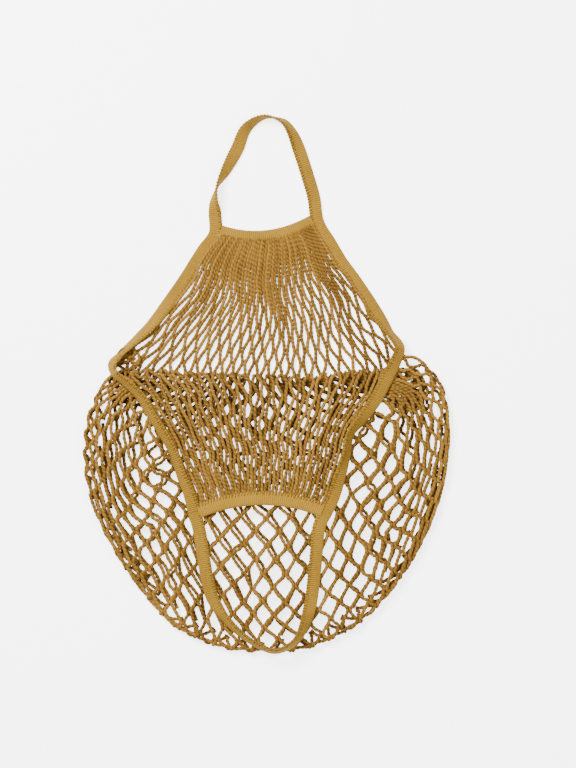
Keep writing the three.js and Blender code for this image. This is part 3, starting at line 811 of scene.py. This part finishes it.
def cotton(name, dark, light, ribs_along, plies, groove_shade_share, shade_share, bump_depth):
    """Cotton yarn: ribs along, so many to a millimetre, or plies around, fluff and colour drift. The
    grooves of the ribs and plies are coloured darker, as painted shade.
    """
    material = bpy.data.materials.new(name)
    material.use_nodes = True
    tree = material.node_tree
    shader = tree.nodes["Principled BSDF"]
    shader.inputs["Roughness"].default_value = 0.95
    shader.inputs["Specular IOR Level"].default_value = 0.08
    shader.inputs["Sheen Weight"].default_value = 0.04
    shader.inputs["Sheen Roughness"].default_value = 0.5
    shader.inputs["Sheen Tint"].default_value = (1.0, 0.86, 0.6, 1.0)
    link = tree.links.new

    uv = node(tree, "ShaderNodeUVMap", (-1300, 0), uv_map="UVMap")
    split = node(tree, "ShaderNodeSeparateXYZ", (-1120, 0))
    link(uv.outputs["UV"], split.inputs[0])

    def math_node(operation, first, second, place):
        made = node(tree, "ShaderNodeMath", place, operation=operation)
        for socket, value in zip(made.inputs, (first, second)):
            if isinstance(value, (int, float)):
                socket.default_value = value
            elif value is not None:
                link(value, socket)
        return made.outputs[0]

    around = math_node("MULTIPLY", split.outputs[0], 2 * math.pi * plies, (-940, 80))
    along = math_node("MULTIPLY", split.outputs[1], 2 * math.pi * ribs_along, (-940, -80))
    angle = math_node("ADD", around, along, (-760, 0))
    wave = math_node("COSINE", angle, None, (-580, 0))
    ribs = math_node("MULTIPLY_ADD", wave, 0.5, (-400, 0))
    ribs.node.inputs[2].default_value = 0.5

    coordinates = node(tree, "ShaderNodeTexCoord", (-1300, -400))
    fluff = node(tree, "ShaderNodeTexNoise", (-1000, -300))
    fluff.inputs["Scale"].default_value = FLUFF_SCALE
    fluff.inputs["Detail"].default_value = 3.0
    patches = node(tree, "ShaderNodeTexNoise", (-1000, -560))
    patches.inputs["Scale"].default_value = PATCH_SCALE
    patches.inputs["Detail"].default_value = 3.0
    link(coordinates.outputs["Object"], fluff.inputs["Vector"])
    link(coordinates.outputs["Object"], patches.inputs["Vector"])

    strand = node(tree, "ShaderNodeAttribute", (-1000, -800), attribute_name="shade")
    # The colour is darker where the ribs and plies sink into their grooves: painted shade.
    mix_in = math_node("MULTIPLY", ribs, groove_shade_share, (-220, 0))
    fluff_in = math_node("MULTIPLY", fluff.outputs[0], FLUFF_SHARE, (-400, -300))
    patch_in = math_node("MULTIPLY", patches.outputs[0], PATCH_SHARE, (-400, -500))
    shade_in = math_node("MULTIPLY", strand.outputs["Fac"], shade_share, (-400, -700))
    mix_in = math_node("ADD", mix_in, fluff_in, (-60, 0))
    mix_in = math_node("ADD", mix_in, patch_in, (60, 0))
    mix_in = math_node("ADD", mix_in, shade_in, (160, 0))
    ramp = node(tree, "ShaderNodeValToRGB", (300, 0))
    ramp.color_ramp.elements[0].position = 0.25
    ramp.color_ramp.elements[0].color = (*dark, 1.0)
    ramp.color_ramp.elements[1].position = 0.95
    ramp.color_ramp.elements[1].color = (*light, 1.0)
    link(mix_in, ramp.inputs[0])
    link(ramp.outputs[0], shader.inputs["Base Color"])

    fluff_rise = math_node("MULTIPLY", fluff.outputs[0], 0.8, (-220, -300))
    height = math_node("ADD", ribs, fluff_rise, (100, -300))
    bump = node(tree, "ShaderNodeBump", (400, -300))
    bump.inputs["Strength"].default_value = 0.9
    bump.inputs["Distance"].default_value = bump_depth * MM
    link(height, bump.inputs["Height"])
    link(bump.outputs[0], shader.inputs["Normal"])
    shader.location = (700, 0)
    tree.nodes["Material Output"].location = (1000, 0)
    return material


RIB_PITCH = 2.0
cord_material = cotton(
    "cotton_cord", (0.030, 0.011, 0.0009), (0.255, 0.129, 0.0190), 0, 2, 0.24, 0.26, 0.4
)
tape_material = cotton(
    "cotton_tape_ribbed", (0.040, 0.017, 0.001), (0.280, 0.151, 0.0150),
    1 / RIB_PITCH, 0, 0.22, 0.5, 0.5,
)


# The net's sheets, laid on the ground, round the pouch and over the front
GROUND_SLACK = 0.8
GROUND_WAVES = (17.0, 23.0)


def on_ground(points):
    """The back lies on the ground, with a little slack."""
    wave_x, wave_y = GROUND_WAVES
    rise = 0.5 + 0.5 * np.sin(points[:, 0] / wave_x) * np.sin(points[:, 1] / wave_y)
    return np.concatenate([points, (CORD_REST + rise * GROUND_SLACK)[:, None]], axis=1)


# Strands of no more points than this are dropped; down to so far below the fold none is cut
SHORTEST_PIECE = 8
WHOLE_BELOW_FOLD = 14


def within_rim(paths):
    """The parts of flat paths that the front's margin, which comes round the side, leaves free."""
    kept = []
    for path in paths:
        inside = beside_outline(path)[2]
        between_corners = (path[:, 0] > CORNER_LEFT[0]) & (path[:, 0] < CORNER_RIGHT[0])
        above = (path[:, 1] > -WHOLE_BELOW_FOLD) & between_corners
        free = (inside > SIDE_DEPTH - 1) | above
        changes = np.flatnonzero(np.diff(free.astype(int))) + 1
        for run, run_free in zip(np.split(path, changes), np.split(free, changes)):
            if run_free[0] and len(run) > SHORTEST_PIECE:
                kept.append(run)
    return kept


FOLD_RADIUS = (NET_THICKNESS + GAP) / 2
FLAP_RELIEF = 0.6
RELIEF_FADE = 10


def on_flap(points):
    """The flap lies on the front, and goes round the fold and under where it runs past it."""
    side = np.clip(points[:, 0] / (FOLD_SHARE * HALF), -1, 1)
    fold = -FOLD_SAG * (1 - side ** 2)
    past = np.maximum(points[:, 1] - fold, 0)
    turn = np.clip(past / FOLD_RADIUS, 0, math.pi)
    under = np.maximum(past - math.pi * FOLD_RADIUS, 0)
    bent = fold + FOLD_RADIUS * np.sin(turn) - under
    y = np.where(past > 0, bent, points[:, 1])
    level = front_top(y) + GAP + NET_THICKNESS / 2 - FOLD_RADIUS * (1 - np.cos(turn))
    share = (points[:, 0] - FRONT_FOOT_LEFT[0]) / FRONT_HANDLE_SPREAD
    band_top = -FLAP_DROP + FRONT_BAND_ARCH * 4 * share * (1 - share) + FRONT_BAND_WIDTH / 2
    level = level + FLAP_RELIEF * np.clip((y - band_top) / RELIEF_FADE, 0, 1)
    return np.stack([points[:, 0], y, level], axis=1)


upper_rows = np.arange(UPPER_ROWS) / UPPER_ROWS
lower_rows = np.arange(POUCH_ROWS + 1) / POUCH_ROWS
back_nodes = np.concatenate([
    sheet_nodes(back_upper, upper_rows), sheet_nodes(back_pouch, lower_rows)
])
front_nodes = sheet_nodes(lambda u, v: front_wander(front_flat(u, v)), lower_rows)
flap_rows = (np.arange(FLAP_ROWS + 1) - 0.5) / (FLAP_ROWS - 0.5)
flap_nodes = sheet_nodes(lambda u, v: flap_wander(flap_flat(u, v)), flap_rows, FLAP_COLUMNS)

back_paths = laid(within_rim(strand_paths(back_nodes, 101, 0.4)), on_ground)
front_paths = laid(strand_paths(front_nodes, 102, 0.35), wrapped)
flap_paths = laid(strand_paths(flap_nodes, 103, 0.3), on_flap)

# Neighbouring strands of the flap lie a little over and under each other, but not at its band
WEAVE_LENGTH = 5.5
WEAVE_RISE = 0.8
WEAVE_FADE = 12
for strand, path in enumerate(flap_paths):
    weave = np.sin(path[:, 1] / WEAVE_LENGTH + strand * math.pi)
    above_band = path[:, 1] + FLAP_DROP - WEAVE_FADE
    path[:, 2] += WEAVE_RISE * weave * np.clip(above_band / WEAVE_FADE, 0, 1)

FOOT_SCALLOP = 1.6


def foot_cord(start, end):
    """The outermost cord at the foot, drawn in a little between the joints on the outline."""
    across = np.linspace(start, end, 160)
    drawn_in = FOOT_SCALLOP * np.abs(np.cos(math.pi * COLUMNS * across))
    plan = inside_outline(FOOT_FROM + (FOOT_TO - FOOT_FROM) * across, CORD_REST + drawn_in)
    middle = (CORD_REST + front_underside(plan[:, 1]) + NET_THICKNESS / 2) / 2
    return np.concatenate([plan, middle[:, None]], axis=1)


BUNCH_STEP = 6.0
BUNCH_STEPS = 6
# A loop's turn at each step, how that varies, the spread of the starts, and the loops' heights
BUNCH_TURN = (0.4, 1.3)
TURN_VARIES = (0.6, 1.2)
START_SPREAD = 0.55
TOP_VARIES = (0.6, 1)


def bunch(centre, radius, count, top, seed):
    """Slack loops of net heaped beside a corner of the mouth; their ends lie below."""
    dice = np.random.default_rng(seed)
    loops = []
    for _ in range(count):
        heading = dice.uniform(0, 2 * math.pi)
        turn = dice.uniform(*BUNCH_TURN) * dice.choice([-1, 1])
        corners = [centre + dice.normal(size=2) * radius * START_SPREAD]
        for _ in range(BUNCH_STEPS):
            ahead = np.array([math.cos(heading), math.sin(heading)])
            corners.append(corners[-1] + BUNCH_STEP * ahead)
            heading += turn * dice.uniform(*TURN_VARIES)
        away = np.array(corners) - centre
        reach = np.linalg.norm(away, axis=1, keepdims=True)
        drawn_in = np.minimum(1, radius / np.maximum(reach, 1))
        line = catmull(centre + away * drawn_in, per_segment=6)
        arch = np.sin(np.linspace(0, math.pi, len(line)))[:, None] ** 0.5
        height = CORD + (dice.uniform(*TOP_VARIES) * top - CORD) * arch
        loops.append(np.concatenate([line, height], 1))
    return loops


# Radius of the bunch beside each corner, and the tops of its lower and upper loops
LEFT_BUNCH = 15
RIGHT_BUNCH = 23
LOWER_TOP = 7
UPPER_TOP = 12
above_fold = bunch(CORNER_LEFT + (15, 5), 11, 9, 6.5, 305)
left_lower = bunch(HEAPS[0], LEFT_BUNCH, 12, LOWER_TOP, 301)
right_lower = bunch(HEAPS[1], RIGHT_BUNCH, 15, LOWER_TOP, 302)
left_upper = bunch(HEAPS[0], LEFT_BUNCH, 4, UPPER_TOP, 303)
right_upper = bunch(HEAPS[1], RIGHT_BUNCH, 9, UPPER_TOP, 304)

back_half = len(back_paths) // 2
left_cords = back_paths[:back_half] + above_fold + left_lower
right_cords = back_paths[back_half:] + right_lower
net_piece("net_back_left_cords", left_cords, CORD, ["net_back"], 201, heaped)
net_piece("net_back_right_cords", right_cords, CORD, ["net_back"], 202, heaped)

front_half = len(front_paths) // 2
left_cords = front_paths[:front_half] + [foot_cord(0, 0.5)] + left_upper
right_cords = front_paths[front_half:] + [foot_cord(0.5, 1)] + right_upper
net_piece("net_front_left_cords", left_cords, CORD, ["net_front", "net_side"], 203, covered)
net_piece("net_front_right_cords", right_cords, CORD, ["net_front", "net_side"], 204, covered)
net_piece("net_flap_cords", flap_paths, FLAP_CORD, ["net_flap"], 205)


# Ribbed tape. The lower a power is, the squarer the section is in that direction.
TAPE_SIDES = 16
ACROSS_POWER = 0.55
FACE_POWER = 0.75


def tape_section(width, thickness):
    """Section of the tape: flat faces and round edges, as across and face offsets."""
    turn = (np.arange(TAPE_SIDES) + 0.5) / TAPE_SIDES * 2 * math.pi
    across = np.sign(np.cos(turn)) * np.abs(np.cos(turn)) ** ACROSS_POWER
    face = np.sign(np.sin(turn)) * np.abs(np.sin(turn)) ** FACE_POWER
    return np.stack([across * width / 2, face * thickness / 2], axis=-1)


RIB_RINGS = 4
RIB_SWELL = 0.02
STITCH_PITCH = 3.2
STITCH_THREAD = 0.85
STITCH_SHADE = 0.2
STITCH_SIDES = 5
# A stitch, point by point: past the tape's edge, half thicknesses up, and forward along the tape
STITCH_ROWS = [
    (-3.4, 1.02, -0.7), (-1.6, 1.22, 0.0), (0.0, 0.85, 0.5), (0.1, 0.0, 0.7), (-0.5, -1.0, 0.9),
]


def stitched(line, across, face, width, thickness, edge):
    """Overlock stitches that wrap the edge a net is sewn to: edge is 1 or -1."""
    parts = []
    step = max(int(STITCH_PITCH / RIB_PITCH * RIB_RINGS), 1)
    for ring in range(step, len(line) - step, step):
        along = unit(line[ring + 1] - line[ring - 1])
        reach = across[ring] * edge
        lift = face[ring] * (thickness / 2)
        path = [
            line[ring] + reach * (width / 2 + past) + lift * up + along * forward
            for past, up, forward in STITCH_ROWS
        ]
        thread = tube(np.array(path), STITCH_THREAD, STITCH_SIDES, STITCH_SHADE, twisted=False)
        parts.append(thread)
    return parts


def ribbed(path, roll, width, thickness, edge, shade):
    """A ribbed band along a path, with its stitches: every ring is a quarter of a rib."""
    steps = np.linalg.norm(np.diff(path, axis=0), axis=1)
    along = np.concatenate([[0], np.cumsum(steps)])
    rings = max(int(along[-1] / RIB_PITCH * RIB_RINGS), 8)
    where = np.linspace(0, along[-1], rings)
    line = np.stack([np.interp(where, along, column) for column in path.T], axis=-1)
    turn = np.radians(np.interp(where, along, roll))[:, None]
    tangent = unit(np.gradient(line, axis=0))
    side = unit(np.stack([tangent[:, 1], -tangent[:, 0], np.zeros(rings)], axis=-1))
    up = np.cross(side, tangent)
    across = side * np.cos(turn) + up * np.sin(turn)
    face = up * np.cos(turn) - side * np.sin(turn)
    swell = 1 + RIB_SWELL * np.sin(where / RIB_PITCH * 2 * math.pi)[:, None]
    section = tape_section(width, thickness)
    points, quads, uvs = swept(line, section, across * swell, face * swell)
    band = (points, quads, uvs, np.full(len(points), shade))
    return [band] + stitched(line, across, face, width, thickness, edge)


def tape_piece(name, path, roll, width, thickness, edge=1, shade=0.5):
    piece = mesh_from(name + "_tape", *join(ribbed(path, roll, width, thickness, edge, shade)))
    piece.data.materials.append(tape_material)
    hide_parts(name)
    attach(piece, "root")


# The tape stands less steeply near the left corner of the mouth than the solids' tape
CORNER_FLATTER = 0.42
CORNER_FLATTER_ROWS = 0.9
corner_row = piece_start["back_edge_left"]
names = list(TAPE_ROWS)
for index, piece_name in enumerate(names):
    first = piece_start[piece_name]
    last = piece_start[names[index + 1]] if index + 1 < len(names) else loop_count
    rows = np.linspace(first, last, 240)
    flatter = 1 - CORNER_FLATTER * np.exp(-((rows - corner_row) / CORNER_FLATTER_ROWS) ** 2)
    roll = loop_value(rows, 0) * flatter
    tape_piece(piece_name, tape_centre(rows), roll, TAPE_WIDTH, TAPE_THICKNESS)

# The mouth bands are coloured lighter than the other tapes, the front one most: painted light.
band_line = mouth_band_line(*BACK_BAND, -0.03, 1.03)
level = np.full((len(band_line), 1), BAND_THICKNESS / 2 + LIFT)
tape_piece("back_mouth_band", np.concatenate([band_line, level], 1), np.zeros(len(band_line)),
           BACK_BAND_WIDTH, BAND_THICKNESS, shade=0.6)
band_line = mouth_band_line(*FRONT_BAND, -0.03, 1.03)
level = (front_top(band_line[:, 1]) + GAP + BAND_THICKNESS / 2)[:, None]
tape_piece("front_mouth_band", np.concatenate([band_line, level], 1), np.zeros(len(band_line)),
           FRONT_BAND_WIDTH, BAND_THICKNESS, -1, 0.75)

# Everything was laid out about the fold; the part's origin is the middle of its footprint
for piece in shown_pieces():
    if piece.name.endswith(("_cords", "_tape")):
        spots = np.empty(len(piece.data.vertices) * 3, np.float32)
        piece.data.vertices.foreach_get("co", spots)
        spots = spots.reshape(-1, 3)
        spots[:, :2] += SHIFT * MM
        piece.data.vertices.foreach_set("co", spots.ravel())
        piece.data.update()

# Floor, light and camera. The floor gives off light of its own, so that it is nearly white
floor_mesh = bpy.data.meshes.new("floor")
floor_mesh.from_pydata([(-4, -4, 0), (4, -4, 0), (4, 4, 0), (-4, 4, 0)], [], [(0, 1, 2, 3)])
floor = bpy.data.objects.new("floor", floor_mesh)
bpy.context.scene.collection.objects.link(floor)
floor_material = bpy.data.materials.new("pale_floor")
floor_material.use_nodes = True
floor_shader = floor_material.node_tree.nodes["Principled BSDF"]
floor_shader.inputs["Base Color"].default_value = (0.92, 0.92, 0.92, 1)
floor_shader.inputs["Roughness"].default_value = 0.9
floor_shader.inputs["Emission Color"].default_value = (1, 1, 1, 1)
floor_shader.inputs["Emission Strength"].default_value = 3.2
floor_mesh.materials.append(floor_material)

world = bpy.data.worlds.new("studio")
world.use_nodes = True
world.node_tree.nodes["Background"].inputs["Color"].default_value = (1.0, 1.0, 1.0, 1)
world.node_tree.nodes["Background"].inputs["Strength"].default_value = 1.0
bpy.context.scene.world = world


def area_light(name, place, size, watts):
    data = bpy.data.lights.new(name, "AREA")
    data.size = size
    data.energy = watts
    light = bpy.data.objects.new(name, data)
    light.location = place
    light.rotation_mode = "QUATERNION"
    light.rotation_quaternion = (-Vector(place)).to_track_quat("-Z", "Y")
    bpy.context.scene.collection.objects.link(light)


area_light("key", (-0.9, 1.0, 1.6), 0.8, 130)
area_light("fill", (1.2, -0.4, 1.8), 1.6, 30)

# Seen from above, the photo's frame is this many metres tall on the ground
FRAME_TALL = 0.768
CAMERA_HEIGHT = 2.2
CAMERA_OVER = (0.02147, 0.00019)
camera_data = bpy.data.cameras.new("camera")
camera = bpy.data.objects.new("camera", camera_data)
camera.location = (*CAMERA_OVER, CAMERA_HEIGHT)
camera_data.sensor_fit = "AUTO"
camera_data.lens = camera_data.sensor_width * CAMERA_HEIGHT / FRAME_TALL
camera_data.clip_end = 20
bpy.context.scene.collection.objects.link(camera)
bpy.context.scene.camera = camera

bpy.context.view_layer.update()
